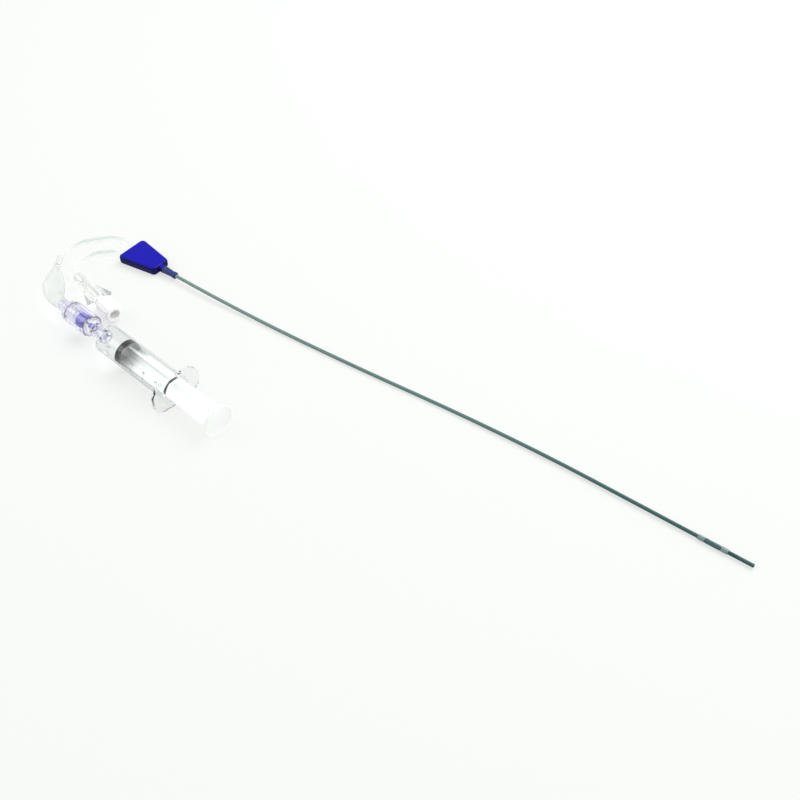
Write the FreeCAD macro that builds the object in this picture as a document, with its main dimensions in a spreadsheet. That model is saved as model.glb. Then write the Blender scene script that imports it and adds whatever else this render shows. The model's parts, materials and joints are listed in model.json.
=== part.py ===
"""Balloon catheter for hysterosalpingography, lying on a table with its air syringe.

Millimetres, +Z up. The origin is the middle of the hub's flat underside. +X runs along the
syringe, towards the catheter's tip, and +Y is on the far side from the syringe. The hub lies
turned a little from +X. The pieces are a two-lumen catheter with a balloon near its tip, a
moulded paddle hub, a contrast line that ends in a capped female luer, and an inflation line with
a pilot balloon, a one-way valve and a syringe pushed into that valve.
"""

import FreeCAD
import Part

import math
import os

import Sketcher
from FreeCAD import Placement, Rotation, Vector

os.makedirs("parts", exist_ok=True)
doc = FreeCAD.newDocument("catheter")
sheet = doc.addObject("Spreadsheet::Sheet", "sizes")
sheet.Label = "sizes"

# Driving sizes, in millimetres and degrees.
SIZES = [
    # paddle hub
    ("hub_turn", 5.0),
    ("hub_length", 22.0),
    ("hub_wide_end", 17.8),
    ("hub_narrow_end", 10.2),
    ("hub_thickness", 4.4),
    ("hub_corner_radius", 2.2),
    ("hub_edge_radius", 1.2),
    ("nose_length", 2.0),
    ("nose_root_radius", 2.0),
    ("nose_end_radius", 1.95),
    ("shaft_socket_depth", 9.0),
    ("line_socket_depth", 5.0),
    ("line_port_offset", 4.6),
    ("channel_radius", 0.55),
    # catheter shaft
    ("shaft_radius", 0.835),
    ("main_lumen_radius", 0.43),
    ("main_lumen_offset", 0.2),
    ("balloon_lumen_radius", 0.15),
    ("balloon_lumen_offset", 0.52),
    ("tip_rounding", 0.3),
    ("tip_eye_distance", 4.5),
    ("tip_eye_radius", 0.3),
    ("tip_run_height", 1.15),
    ("socket_clearance", 0.04),
    # strain relief sleeve
    ("relief_length", 8.0),
    ("relief_root_radius", 1.9),
    ("relief_end_radius", 1.5),
    ("relief_bead_radius", 1.7),
    ("relief_bead_length", 1.5),
    # balloon and its bonds
    ("balloon_length", 13.4),
    ("balloon_wall", 0.12),
    ("balloon_to_tip", 11.2),
    ("balloon_clearance", 0.03),
    ("bond_length", 3.0),
    ("bond_wall", 0.12),
    ("bond_taper", 0.6),
    # clear lines
    ("line_radius", 1.2),
    ("line_bore_radius", 0.7),
    # pilot balloon
    ("pilot_width", 11.0),
    ("pilot_height", 6.0),
    ("pilot_wall", 0.35),
    ("pilot_neck_grip", 5.0),
    ("pilot_line_grip", 5.6),
    # syringe and valve axis
    ("axis_offset", 51.8),
    # one-way valve
    ("valve_start", 3.0),
    ("tail_stub_length", 7.2),
    ("tail_stub_radius", 2.5),
    ("tail_barb_radius", 2.62),
    ("tail_bore_radius", 1.0),
    ("tail_flange_thickness", 1.4),
    ("tail_spigot_length", 2.0),
    ("housing_radius", 5.3),
    ("housing_length", 15.6),
    ("housing_rib_height", 0.35),
    ("housing_rib_width", 1.3),
    ("chamber_radius", 4.2),
    ("seat_thickness", 1.5),
    ("seat_hole_radius", 1.8),
    ("port_length", 8.8),
    ("port_radius", 3.4),
    ("lug_height", 0.45),
    ("lug_width", 2.6),
    ("lug_length", 1.4),
    # luer cone, 6 per cent taper on the diameter
    ("luer_mouth_radius", 2.15),
    ("luer_slope", 0.03),
    ("luer_fit_gap", 0.04),
    ("luer_grip", 8.0),
    # valve core, its seal and its spring
    ("core_lift", 1.0),
    ("core_cup_radius", 3.3),
    ("core_cup_bore", 2.6),
    ("core_cup_length", 5.0),
    ("core_floor", 1.0),
    ("core_stem_radius", 1.5),
    ("core_guide_width", 0.9),
    ("core_guide_clearance", 0.1),
    ("seal_radius", 3.1),
    ("seal_thickness", 1.0),
    ("spring_radius", 2.05),
    ("spring_wire_radius", 0.22),
    ("spring_turns", 4.0),
    ("end_gap", 0.05),
    # syringe barrel
    ("barrel_radius", 7.0),
    ("barrel_bore", 6.2),
    ("barrel_length", 49.5),
    ("barrel_front_wall", 1.2),
    ("barrel_shoulder", 1.0),
    ("nozzle_free_length", 1.2),
    ("nozzle_bore", 1.0),
    ("nozzle_root_radius", 3.0),
    ("flange_thickness", 1.7),
    ("flange_width", 25.0),
    ("flange_height", 16.0),
    # plunger
    ("charge_length", 11.9),
    ("gasket_length", 3.4),
    ("gasket_rib_width", 0.8),
    ("gasket_waist", 5.7),
    ("gasket_running_gap", 0.03),
    ("gasket_cone", 0.7),
    ("head_neck_radius", 3.1),
    ("head_radius", 3.9),
    ("head_neck_length", 0.8),
    ("head_length", 1.2),
    ("rod_disc_radius", 5.85),
    ("rod_disc_thickness", 1.4),
    ("rod_length", 61.0),
    ("rod_fin_thickness", 1.3),
    ("rod_fin_width", 11.2),
    ("thumb_thickness", 1.7),
    # contrast connector and its cap
    ("contrast_turn", 8.0),
    ("contrast_height", 4.7),
    ("connector_length", 29.5),
    ("connector_tail_radius", 2.5),
    ("connector_tail_length", 11.0),
    ("connector_radius", 3.3),
    ("connector_bore", 0.9),
    ("wing_start", 11.5),
    ("wing_length", 9.0),
    ("wing_root_reach", 3.6),
    ("wing_end_reach", 6.6),
    ("wing_thickness", 1.4),
    ("cap_radius", 4.35),
    ("cap_rib_height", 0.3),
    ("cap_rib_width", 0.8),
    ("cap_skirt_bore", 3.95),
    ("cap_skirt_length", 4.3),
    ("cap_length", 10.0),
    ("cap_wall", 1.8),
]
for row, (name, number) in enumerate(SIZES, start=1):
    sheet.set(f"A{row}", name)
    sheet.set(f"B{row}", str(number))
    sheet.setAlias(f"B{row}", name)
doc.recompute()


class Size:
    """A length that knows its number and the sheet formula that gives it."""

    def __init__(self, number, text):
        self.number = number
        self.text = text

    def mixed(self, other, sign, swap=False):
        if not isinstance(other, Size):
            other = Size(other, repr(other))
        first, second = (other, self) if swap else (self, other)
        results = {
            "+": first.number + second.number,
            "-": first.number - second.number,
            "*": first.number * second.number,
            "/": first.number / second.number if second.number else 0.0,
        }
        return Size(results[sign], f"({first.text} {sign} {second.text})")

    def __add__(self, other):
        return self.mixed(other, "+")

    def __radd__(self, other):
        return self.mixed(other, "+", swap=True)

    def __sub__(self, other):
        return self.mixed(other, "-")

    def __rsub__(self, other):
        return self.mixed(other, "-", swap=True)

    def __mul__(self, other):
        return self.mixed(other, "*")

    def __rmul__(self, other):
        return self.mixed(other, "*", swap=True)

    def __truediv__(self, other):
        return self.mixed(other, "/")

    def __neg__(self):
        return Size(-self.number, f"(0 - {self.text})")


class Sizes:
    """The sheet's sizes by name: size.hub_length and so on."""

    def __getattr__(self, name):
        return Size(float(getattr(sheet, name)), f"sizes.{name}")


size = Sizes()


def mm(number):
    """A plain length that no other size drives."""
    return Size(number, repr(number))


ZERO = mm(0.0)
X_WARD = Rotation(Vector(0, 1, 0), 90)
CLOCKWISE = Vector(0, 0, -1)
ANTICLOCKWISE = Vector(0, 0, 1)
made = {}


def bind(item, path, length):
    """Ties one property of an object to a formula of the sheet's sizes."""
    item.setExpression(path, length.text)


def place(item, x, y, z, turn=None, way=CLOCKWISE):
    """Puts an object at x, y, z, turned on the table if turn is given, the way seen from above."""
    rotation = Rotation(way, turn.number) if turn else item.Placement.Rotation
    item.Placement = Placement(Vector(x.number, y.number, z.number), rotation)
    for letter, length in zip("xyz", (x, y, z)):
        bind(item, f"Placement.Base.{letter}", length)
    if turn:
        bind(item, "Placement.Rotation.Angle", turn)


def new_body(name, x=ZERO, y=ZERO, z=ZERO, turn=None, way=CLOCKWISE):
    body = doc.addObject("PartDesign::Body", name)
    body.Label = name
    place(body, x, y, z, turn, way)
    made[name] = body
    return body


def origin_part(body, role):
    return next(item for item in body.Origin.OriginFeatures if item.Role == role)


def outline(body, name, plane, points, lift=None, slide=None):
    """A closed sketch through points, each tied to the sheet by its two distances from the origin.

    lift moves the sketch along its own second axis, slide along its plane's normal.
    """
    sketch = body.newObject("Sketcher::SketchObject", name)
    sketch.AttachmentSupport = [(origin_part(body, plane), "")]
    sketch.MapMode = "FlatFace"
    sketch.AttachmentOffset = Placement(
        Vector(0, lift.number if lift else 0, slide.number if slide else 0), Rotation()
    )
    if lift:
        bind(sketch, "AttachmentOffset.Base.y", lift)
    if slide:
        bind(sketch, "AttachmentOffset.Base.z", slide)
    corners = [Vector(a.number, b.number, 0) for a, b in points]
    count = len(corners)
    for i in range(count):
        sketch.addGeometry(Part.LineSegment(corners[i], corners[(i + 1) % count]), False)
    for i in range(count):
        sketch.addConstraint(Sketcher.Constraint("Coincident", i, 2, (i + 1) % count, 1))
    for i, pair in enumerate(points):
        for kind, axis, length in (("DistanceX", -2, pair[0]), ("DistanceY", -1, pair[1])):
            if abs(length.number) < 1e-9:
                sketch.addConstraint(Sketcher.Constraint("PointOnObject", i, 1, axis))
                continue
            ends = (-1, 1, i, 1) if length.number > 0 else (i, 1, -1, 1)
            number = sketch.addConstraint(Sketcher.Constraint(kind, *ends, abs(length.number)))
            bind(sketch, f"Constraints[{number}]", length if length.number > 0 else -length)
    return sketch


def turned(name, profile, x=ZERO, y=ZERO, z=ZERO, turn=None, way=CLOCKWISE):
    """A body turned about its own X axis from a profile of (distance along, radius) pairs."""
    body = new_body(name, x, y, z, turn, way)
    sketch = outline(body, f"{name}_profile", "XZ_Plane", profile)
    revolve(body, sketch, f"{name}_turning", "PartDesign::Revolution")
    return body


def revolve(body, sketch, name, kind):
    feature = body.newObject(kind, name)
    feature.Profile = sketch
    feature.ReferenceAxis = (sketch, ["H_Axis"])
    feature.Angle = 360
    sketch.Visibility = False
    doc.recompute()
    return feature


def pad(body, sketch, name, length, midplane=False):
    feature = body.newObject("PartDesign::Pad", name)
    feature.Profile = sketch
    bind(feature, "Length", length)
    feature.Midplane = midplane
    doc.recompute()
    return feature


def edges_where(feature, test):
    """Names of the feature's edges that pass a test of the edge itself."""
    return [f"Edge{i}" for i, edge in enumerate(feature.Shape.Edges, start=1) if test(edge)]


def rounded(body, name, radius, test):
    """Fillets the edges of the body's last feature that pass the test."""
    base = body.Tip
    names = edges_where(base, test)
    if not names:
        raise RuntimeError(f"{name}: no edge to round")
    feature = body.newObject("PartDesign::Fillet", name)
    feature.Base = (base, names)
    bind(feature, "Radius", radius)
    doc.recompute()
    return feature


def block(body, name, x, y, z, along, across, high, kind="PartDesign::AdditiveBox"):
    """A box from its low corner, used for ribs, lugs and wings."""
    feature = body.newObject(kind, name)
    for key, length in (("Length", along), ("Width", across), ("Height", high)):
        bind(feature, key, length)
    place(feature, x, y, z)
    doc.recompute()
    return feature


def drilled(body, name, radius, depth, x, y, z):
    """A round hole that starts at x, y, z and runs towards +X."""
    feature = body.newObject("PartDesign::SubtractiveCylinder", name)
    bind(feature, "Radius", radius)
    bind(feature, "Height", depth)
    feature.Placement = Placement(Vector(), X_WARD)
    place(feature, x, y, z)
    doc.recompute()
    return feature


def around(body, feature, name, count):
    """Repeats a feature evenly about the body's X axis."""
    pattern = body.newObject("PartDesign::PolarPattern", name)
    pattern.Originals = [feature]
    pattern.Axis = (origin_part(body, "X_Axis"), [""])
    pattern.Angle = 360
    pattern.Occurrences = count
    body.Tip = pattern
    doc.recompute()
    return pattern


def keep(name, shape):
    """A node whose shape is built by Part functions from the sheet's values."""
    feature = doc.addObject("Part::Feature", name)
    feature.Label = name
    feature.Shape = shape
    made[name] = feature
    return feature


# Routes: straight runs joined by tangent arcs.

ARC_SHARE = 0.45


def route_wire(points, report=None):
    """Straight runs between the points, joined by arcs as large as the shorter run allows."""
    edges = []
    start = points[0]
    for before, corner, after in zip(points, points[1:], points[2:]):
        back = (before - corner).normalize()
        ahead = (after - corner).normalize()
        reach = ARC_SHARE * min((before - corner).Length, (after - corner).Length)
        half_turn = (math.pi - back.getAngle(ahead)) / 2
        radius = reach / math.tan(half_turn)
        first = corner + back * reach
        last = corner + ahead * reach
        centre = corner + (back + ahead).normalize() * (radius / math.cos(half_turn))
        middle = centre + (corner - centre).normalize() * radius
        edges.append(Part.LineSegment(start, first).toShape())
        edges.append(Part.Arc(first, middle, last).toShape())
        start = last
        if report:
            print(f"{report}: turn {math.degrees(2 * half_turn):.1f} deg, radius {radius:.1f} mm")
    edges.append(Part.LineSegment(start, points[-1]).toShape())
    return Part.Wire(edges)


# Places that several pieces share.

hub_back = -(size.hub_length / 2)
hub_front = size.hub_length / 2
hub_axis = size.hub_thickness / 2
nose_end = hub_front + size.nose_length
shaft_start = nose_end - size.shaft_socket_depth
skive_start = shaft_start + 2.0
line_end = hub_back + size.line_socket_depth
balloon_middle = size.balloon_to_tip + size.balloon_length / 2
housing_start = size.valve_start + size.tail_stub_length + size.tail_flange_thickness
port_mouth = size.housing_length + size.port_length
cone_bottom = port_mouth - size.luer_grip - 1.0
chamber_depth = cone_bottom - size.seat_thickness
valve_mouth = housing_start + port_mouth
nozzle_tip = valve_mouth - size.luer_grip
barrel_start = valve_mouth + size.nozzle_free_length
gasket_start = barrel_start + size.barrel_front_wall + size.charge_length
axis_height = size.flange_height / 2
AXIS = (-size.axis_offset, axis_height)
HUB_HEADING = Rotation(ANTICLOCKWISE, size.hub_turn.number)


def point(x, y, z):
    return Vector(x.number, y.number, z.number)


def from_hub(along, across):
    """A point at the height of the hub's sockets, measured along and across the hub."""
    return HUB_HEADING.multVec(point(along, across, hub_axis))


# Paddle hub: one moulding with the shaft socket at its nose and two line sockets at its wide end.


def hub():
    body = new_body("paddle_hub", turn=size.hub_turn, way=ANTICLOCKWISE)
    wide, narrow = size.hub_wide_end / 2, size.hub_narrow_end / 2
    plan = [(hub_back, -wide), (hub_front, -narrow), (hub_front, narrow), (hub_back, wide)]
    pad(body, outline(body, "hub_plan", "XY_Plane", plan), "hub_plate", size.hub_thickness)
    upright = size.hub_thickness.number

    def is_corner(edge):
        low, high = edge.BoundBox.ZMin, edge.BoundBox.ZMax
        return high - low > upright - 1e-6 and edge.BoundBox.XLength < 1e-6

    rounded(body, "hub_corners", size.hub_corner_radius, is_corner)
    rounded(body, "hub_edges", size.hub_edge_radius, lambda edge: edge.BoundBox.ZLength < 1e-6)
    nose = [
        (hub_front - 2.0, ZERO),
        (hub_front - 2.0, size.nose_root_radius),
        (hub_front, size.nose_root_radius),
        (nose_end, size.nose_end_radius),
        (nose_end, ZERO),
    ]
    profile = outline(body, "nose_profile", "XZ_Plane", nose, lift=hub_axis)
    revolve(body, profile, "hub_nose", "PartDesign::Revolution")
    socket = size.shaft_radius + size.socket_clearance
    drilled(body, "shaft_socket", socket, size.shaft_socket_depth + 1.0, shaft_start, ZERO, hub_axis)
    bore = size.line_radius + size.socket_clearance
    for side, offset in (("balloon", size.line_port_offset), ("contrast", -size.line_port_offset)):
        depth = size.line_socket_depth + 1.0
        drilled(body, f"{side}_line_socket", bore, depth, hub_back - 1.0, offset, hub_axis)
    half = size.channel_radius
    far = size.line_port_offset
    start = line_end - 0.3
    contrast_way = [
        (start, -far - half),
        (shaft_start + 0.1, -half),
        (shaft_start + 0.1, half),
        (start, -far + half),
    ]
    balloon_way = [
        (start, far - half),
        (skive_start, half),
        (skive_start + 2 * half, half),
        (start, far + half),
    ]
    for side, way in (("contrast", contrast_way), ("balloon", balloon_way)):
        plan = outline(body, f"{side}_channel_plan", "XY_Plane", way, slide=hub_axis)
        channel = body.newObject("PartDesign::Pocket", f"{side}_channel")
        channel.Profile = plan
        channel.Midplane = True
        bind(channel, "Length", half * 2)
        doc.recompute()
    return body


# Catheter shaft: a semi-rigid extrusion with a contrast lumen and a balloon lumen side by side.
# It leaves the hub level, comes down to the table and runs on in the photograph's gentle S.

SHAFT_LEAVES = mm(40.15)
SHAFT_BENDS = [(80.0, 9.4), (127.0, 17.0), (182.0, 27.4), (228.0, 34.2)]
SHAFT_TIP = (322.0, 44.2)


def shaft_points():
    """The shaft's route; its last run is lifted a little by the bonds that it rests on."""
    low = size.shaft_radius.number
    lifted = size.tip_run_height.number
    heights = [low, low, low, lifted]
    points = [from_hub(shaft_start, ZERO), from_hub(SHAFT_LEAVES, ZERO)]
    points += [Vector(x, y, z) for (x, y), z in zip(SHAFT_BENDS, heights)]
    return points + [Vector(*SHAFT_TIP, lifted)]


def beside(points, offset):
    """The bar's centre moved sideways, to +Y for a positive offset."""
    ahead = (points[1] - points[0]).normalize()
    return points[0] + Vector(0, 0, 1).cross(ahead).normalize() * offset


def swept(wire, points, radius, offset=0.0):
    """A round bar along a wire, its centre moved sideways by offset."""
    ahead = (points[1] - points[0]).normalize()
    ring = Part.Wire([Part.Circle(beside(points, offset), ahead, radius).toShape()])
    return wire.makePipeShell([ring], True, False)


def tip_frame():
    """The tip's place, the way back along the shaft and the sideways way, for what sits near it."""
    points = shaft_points()
    back = (points[-2] - points[-1]).normalize()
    side = back.cross(Vector(0, 0, 1)).normalize()
    return points[-1], back, side


def shaft():
    points = shaft_points()
    wire = route_wire(points, "catheter_shaft")
    tube = swept(wire, points, size.shaft_radius.number)
    tip, back, side = tip_frame()

    def is_tip_rim(edge):
        curve = edge.Curve
        return isinstance(curve, Part.Circle) and (curve.Center - tip).Length < 1e-3

    tube = tube.makeFillet(size.tip_rounding.number, [e for e in tube.Edges if is_tip_rim(e)])
    main = swept(wire, points, size.main_lumen_radius.number, -size.main_lumen_offset.number)
    lumen_points = points[:-1] + [tip + back * size.balloon_to_tip.number]
    side_lumen = (size.balloon_lumen_radius.number, size.balloon_lumen_offset.number)
    cuts = [main, swept(route_wire(lumen_points), points, *side_lumen)]
    eye = tip + back * size.tip_eye_distance.number
    cuts.append(Part.makeCylinder(size.tip_eye_radius.number, 2.0, eye, -side))
    skive = 2 * size.balloon_lumen_radius.number
    balloon_port = tip + back * balloon_middle.number + side * size.balloon_lumen_offset.number
    cuts.append(Part.makeCylinder(skive, 2.0, balloon_port, side))
    hub_port = from_hub(skive_start + size.channel_radius, size.balloon_lumen_offset)
    across_hub = HUB_HEADING.multVec(Vector(0, 1, 0))
    cuts.append(Part.makeCylinder(skive, 2.0, hub_port, across_hub))
    return keep("catheter_shaft", tube.cut(cuts))


def relief():
    start = nose_end
    end = nose_end + size.relief_length
    bead = end - size.relief_bead_length
    bore = size.shaft_radius + size.socket_clearance
    profile = [
        (start, bore),
        (start, size.relief_root_radius),
        (bead - 0.4, size.relief_end_radius),
        (bead, size.relief_bead_radius),
        (end - 0.3, size.relief_bead_radius),
        (end, size.relief_bead_radius - 0.3),
        (end, bore),
    ]
    return turned("strain_relief", profile, ZERO, ZERO, hub_axis, size.hub_turn, ANTICLOCKWISE)


def on_shaft(body, distance):
    """Puts a turned body on the shaft with its start that far behind the tip, pointing to the tip."""
    tip, back, _ = tip_frame()
    turn = math.degrees(math.atan2(-back.y, -back.x))
    body.Placement = Placement(tip + back * distance, Rotation(Vector(0, 0, 1), turn))


def sleeve_on_shaft(name, profile, distance):
    body = turned(name, profile)
    for letter in "xyz":
        body.setExpression(f"Placement.Base.{letter}", None)
    on_shaft(body, distance)
    return body


def balloon():
    """The deflated balloon: a thin sleeve that lies close on the shaft."""
    inner = size.shaft_radius + size.balloon_clearance
    outer = inner + size.balloon_wall
    length = size.balloon_length
    profile = [(ZERO, inner), (ZERO, outer), (length, outer), (length, inner)]
    sleeve_on_shaft("balloon_sleeve", profile, (size.balloon_to_tip + length).number)
    bond = [
        (ZERO, outer + size.balloon_clearance),
        (ZERO, outer + size.balloon_clearance + size.bond_wall / 2),
        (size.bond_taper, outer + size.balloon_clearance + size.bond_wall),
        (size.bond_length - size.bond_taper, outer + size.balloon_clearance + size.bond_wall),
        (size.bond_length, outer + size.balloon_clearance + size.bond_wall / 2),
        (size.bond_length, outer + size.balloon_clearance),
    ]
    sleeve_on_shaft("rear_balloon_bond", bond, (size.balloon_to_tip + length).number)
    sleeve_on_shaft("front_balloon_bond", bond, (size.balloon_to_tip + size.bond_length).number)


# Clear lines from the hub. Each leaves its socket straight and level as far as its first bend, and
# the contrast line also arrives straight. The points between were chosen by hand, in millimetres.

BALLOON_LEAVES = mm(-24.5)
BALLOON_LINE = [(-35.8, -12.6, 1.3), (-36.0, -24.0, 1.7), (-29.0, -32.4, 1.7)]
CONTRAST_LEAVES = mm(-16.3)
CONTRAST_LINE = [(-23.01, -13.63, 1.7), (-23.28, -24.09, 2.9)]
CONTRAST_ARRIVES = mm(-5.7)


def clear_line(name, points):
    wire = route_wire(points, name)
    outer = swept(wire, points, size.line_radius.number)
    tube = outer.cut(swept(wire, points, size.line_bore_radius.number))
    section = math.pi * (size.line_radius.number**2 - size.line_bore_radius.number**2)
    expected = section * wire.Length
    print(f"{name}: length {wire.Length:.1f} mm, volume {tube.Volume:.2f}, expected {expected:.2f}")
    return keep(name, tube)


def lines():
    side = size.line_port_offset
    start = [from_hub(line_end, side), from_hub(BALLOON_LEAVES, side)]
    clear_line("balloon_line", start + [Vector(*spot) for spot in BALLOON_LINE])
    start = [from_hub(line_end, -side), from_hub(CONTRAST_LEAVES, -side)]
    end = [contrast_spot(CONTRAST_ARRIVES), contrast_spot(size.line_socket_depth)]
    clear_line("contrast_line", start + [Vector(*spot) for spot in CONTRAST_LINE] + end)


# Pilot balloon: blown from tube as one thin piece, with a neck at each end. It lies on the table
# beside the valve. Its narrow neck grips the line and its wide neck grips the valve's tail.

PILOT_PATH = [(-19.3, -41.0, 3.1), (-8.9, -48.2, 4.4)]
# Share of the way along the body, with its width and height there as shares of the largest.
PILOT_SHAPE = [
    (0.1, 0.36, 0.58),
    (0.24, 0.78, 0.84),
    (0.42, 1.0, 1.0),
    (0.6, 0.96, 1.0),
    (0.78, 0.74, 1.0),
]


def pilot_skin(path, ends, less):
    """One skin of the balloon: two round necks and a lofted body, drawn in by less all round."""
    (line_end_spot, line_way, line_grip, neck), (tail_spot, tail_way, tail_grip, throat) = ends
    total = path.length()
    rings = [Part.Circle(line_end_spot, line_way, neck - less)]
    for share, wide, high in PILOT_SHAPE:
        where = path.parameterAtDistance(share * total, path.FirstParameter)
        centre = path.value(where)
        ahead = Vector(*path.tangent(where)[0])
        side = Vector(0, 0, 1).cross(ahead).normalize()
        reach = wide * size.pilot_width.number / 2 - less
        rise = high * size.pilot_height.number / 2 - less
        rings.append(Part.Ellipse(centre + side * reach, centre + ahead.cross(side) * rise, centre))
    rings.append(Part.Circle(tail_spot, tail_way, throat - less))
    body = Part.makeLoft([Part.Wire([ring.toShape()]) for ring in rings], True, False)
    narrow = Part.makeCylinder(neck - less, line_grip, line_end_spot, -line_way)
    broad = Part.makeCylinder(throat - less, tail_grip, tail_spot, tail_way)
    return body.fuse([narrow, broad])


def pilot_balloon():
    corner, end = (Vector(*spot) for spot in BALLOON_LINE[-2:])
    line_way = (end - corner).normalize()
    tail = point(size.valve_start, *AXIS)
    path = Part.BSplineCurve()
    spots = [end] + [Vector(*spot) for spot in PILOT_PATH] + [tail]
    path.interpolate(Points=spots, InitialTangent=line_way * 20, FinalTangent=Vector(20, 0, 0))
    gap = size.socket_clearance + size.pilot_wall
    ends = (
        (end, line_way, size.pilot_line_grip.number, (size.line_radius + gap).number),
        (tail, Vector(1, 0, 0), size.pilot_neck_grip.number, (size.tail_barb_radius + gap).number),
    )
    outer = pilot_skin(path, ends, 0.0)
    return keep("pilot_balloon", outer.cut(pilot_skin(path, ends, size.pilot_wall.number)))


# One-way valve: tail and housing in clear plastic, and inside them a coloured core with a seal.
# A spring behind the core shuts it, and the nozzle of the syringe holds it open.


def valve_tail():
    stub, flange = size.tail_stub_length, size.tail_flange_thickness
    spigot = size.chamber_radius - size.end_gap
    profile = [
        (ZERO, size.tail_bore_radius),
        (ZERO, size.tail_stub_radius - 0.3),
        (mm(1.4), size.tail_barb_radius),
        (mm(2.6), size.tail_stub_radius - 0.15),
        (stub, size.tail_stub_radius),
        (stub, size.housing_radius),
        (stub + flange, size.housing_radius),
        (stub + flange, spigot),
        (stub + flange + size.tail_spigot_length, spigot),
        (stub + flange + size.tail_spigot_length, size.tail_bore_radius),
    ]
    return turned("valve_tail", profile, size.valve_start, *AXIS)


def female_luer(mouth):
    """The cone of a female luer port as (distance, radius) pairs, from its bottom to its mouth."""
    depth = size.luer_grip + 1.0
    return [
        (mouth - depth, size.luer_mouth_radius - size.luer_slope * depth),
        (mouth, size.luer_mouth_radius),
    ]


def lugs(body, mouth, root):
    """Two lugs at the mouth of a luer port, for a locking thread."""
    reach = root + size.lug_height
    lug = block(
        body,
        "luer_lug",
        mouth - size.lug_length,
        -(size.lug_width / 2),
        root - 0.3,
        size.lug_length,
        size.lug_width,
        reach - root + 0.3,
    )
    return around(body, lug, "luer_lugs", 2)


def valve_housing():
    long, port = size.housing_length, port_mouth
    cone = female_luer(port)
    profile = [
        (ZERO, size.chamber_radius),
        (ZERO, size.housing_radius - 0.3),
        (mm(0.3), size.housing_radius),
        (long - 1.2, size.housing_radius),
        (long + 0.2, size.port_radius + 0.4),
        (long + 1.2, size.port_radius),
        (port, size.port_radius),
        *reversed(cone),
        (cone_bottom, size.seat_hole_radius),
        (chamber_depth, size.seat_hole_radius),
        (chamber_depth, size.chamber_radius),
    ]
    body = turned("valve_housing", profile, housing_start, *AXIS)
    rib = block(
        body,
        "grip_rib",
        mm(1.4),
        -(size.housing_rib_width / 2),
        size.housing_radius - 0.3,
        long - 4.0,
        size.housing_rib_width,
        size.housing_rib_height + 0.3,
    )
    around(body, rib, "grip_ribs", 8)
    lugs(body, port, size.port_radius)
    return body


seat_face = housing_start + chamber_depth
seal_start = seat_face - size.core_lift - size.end_gap - size.seal_thickness
core_start = seal_start - size.core_cup_length


def valve_core():
    cup, floor = size.core_cup_length, size.core_floor
    stem = nozzle_tip - size.end_gap - core_start
    profile = [
        (cup - floor, ZERO),
        (cup - floor, size.core_cup_bore),
        (ZERO, size.core_cup_bore),
        (ZERO, size.core_cup_radius),
        (cup, size.core_cup_radius),
        (cup, size.core_stem_radius),
        (stem - 0.4, size.core_stem_radius),
        (stem, size.core_stem_radius - 0.4),
        (stem, ZERO),
    ]
    body = turned("valve_core", profile, core_start, *AXIS)
    reach = size.chamber_radius - size.core_guide_clearance
    guide = block(
        body,
        "core_guide",
        mm(0.5),
        -(size.core_guide_width / 2),
        size.core_cup_radius - 0.2,
        cup - 1.0,
        size.core_guide_width,
        reach - size.core_cup_radius + 0.2,
    )
    around(body, guide, "core_guides", 4)
    return body


def valve_seal():
    bore = size.core_stem_radius + size.socket_clearance
    thick = size.seal_thickness
    profile = [
        (ZERO, bore),
        (ZERO, size.seal_radius),
        (thick - 0.3, size.seal_radius),
        (thick, size.seal_radius - 0.3),
        (thick, bore),
    ]
    return turned("valve_seal", profile, seal_start, *AXIS)


def valve_spring():
    """A wire coil between the tail's spigot and the floor of the core's cup."""
    wire_radius = size.spring_wire_radius
    spigot_end = housing_start + size.tail_spigot_length
    start = spigot_end + wire_radius + size.end_gap
    long = core_start + size.core_cup_length - size.core_floor - size.end_gap - wire_radius - start
    helix = doc.addObject("Part::Helix", "spring_line")
    bind(helix, "Radius", size.spring_radius)
    bind(helix, "Height", long)
    bind(helix, "Pitch", long / size.spring_turns)
    helix.SegmentLength = 1.0
    ring = doc.addObject("Part::Circle", "spring_wire")
    bind(ring, "Radius", wire_radius)
    ring.Placement = Placement(Vector(size.spring_radius.number, 0, 0), Rotation(Vector(1, 0, 0), 90))
    bind(ring, "Placement.Base.x", size.spring_radius)
    coil = doc.addObject("Part::Sweep", "valve_spring")
    coil.Label = "valve_spring"
    coil.Sections = [ring]
    coil.Spine = (helix, [])
    coil.Solid = True
    coil.Frenet = True
    coil.Placement = Placement(Vector(), X_WARD)
    place(coil, start, *AXIS)
    made["valve_spring"] = coil
    doc.recompute()
    return coil


# Syringe: a clear barrel with nozzle and finger flange in one moulding, and its plunger.


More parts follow.
